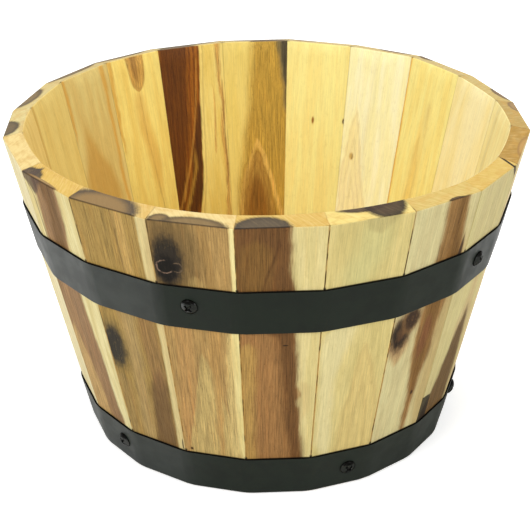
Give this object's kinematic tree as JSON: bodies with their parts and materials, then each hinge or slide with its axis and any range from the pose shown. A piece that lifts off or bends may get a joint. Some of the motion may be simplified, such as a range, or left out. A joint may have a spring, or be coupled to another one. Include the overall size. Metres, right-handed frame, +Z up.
{
  "type": "barrel planter",
  "caption": "Round tapered planter tub made of flat mitred wooden staves with black steel hoops, domed hoop screws and a boarded floor with drain holes.",
  "frame": {"origin": "centre of the circle that the staves stand on, on the ground plane", "axes": "+Z up through the open top, -Y towards the front as pictured, +X to the right as seen from the front"},
  "size_m": [0.3272, 0.328, 0.205],
  "materials": {
    "stave_wood": "clear satin",
    "floor_wood": "sawn",
    "hoop_steel": "satin black powder coat",
    "black_screw": "satin black",
    "bright_screw": "zinc plated"
  },
  "bodies": {
    "root": {"stave_01": "stave_wood", "stave_02": "stave_wood", "stave_03": "stave_wood", "stave_04": "stave_wood", "stave_05": "stave_wood", "stave_06": "stave_wood", "stave_07": "stave_wood", "stave_08": "stave_wood", "stave_09": "stave_wood", "stave_10": "stave_wood", "stave_11": "stave_wood", "stave_12": "stave_wood", "stave_13": "stave_wood", "stave_14": "stave_wood", "stave_15": "stave_wood", "stave_16": "stave_wood", "stave_17": "stave_wood", "stave_18": "stave_wood", "stave_19": "stave_wood", "stave_20": "stave_wood", "upper_hoop": "hoop_steel", "lower_hoop": "hoop_steel", "upper_hoop_screws": "black_screw", "lower_hoop_screws": "black_screw", "floor_board_1": "floor_wood", "floor_board_2": "floor_wood", "floor_board_3": "floor_wood", "floor_board_4": "floor_wood", "floor_board_5": "floor_wood", "left_batten": "floor_wood", "right_batten": "floor_wood", "batten_screws": "bright_screw"}
  },
  "joints": []
}
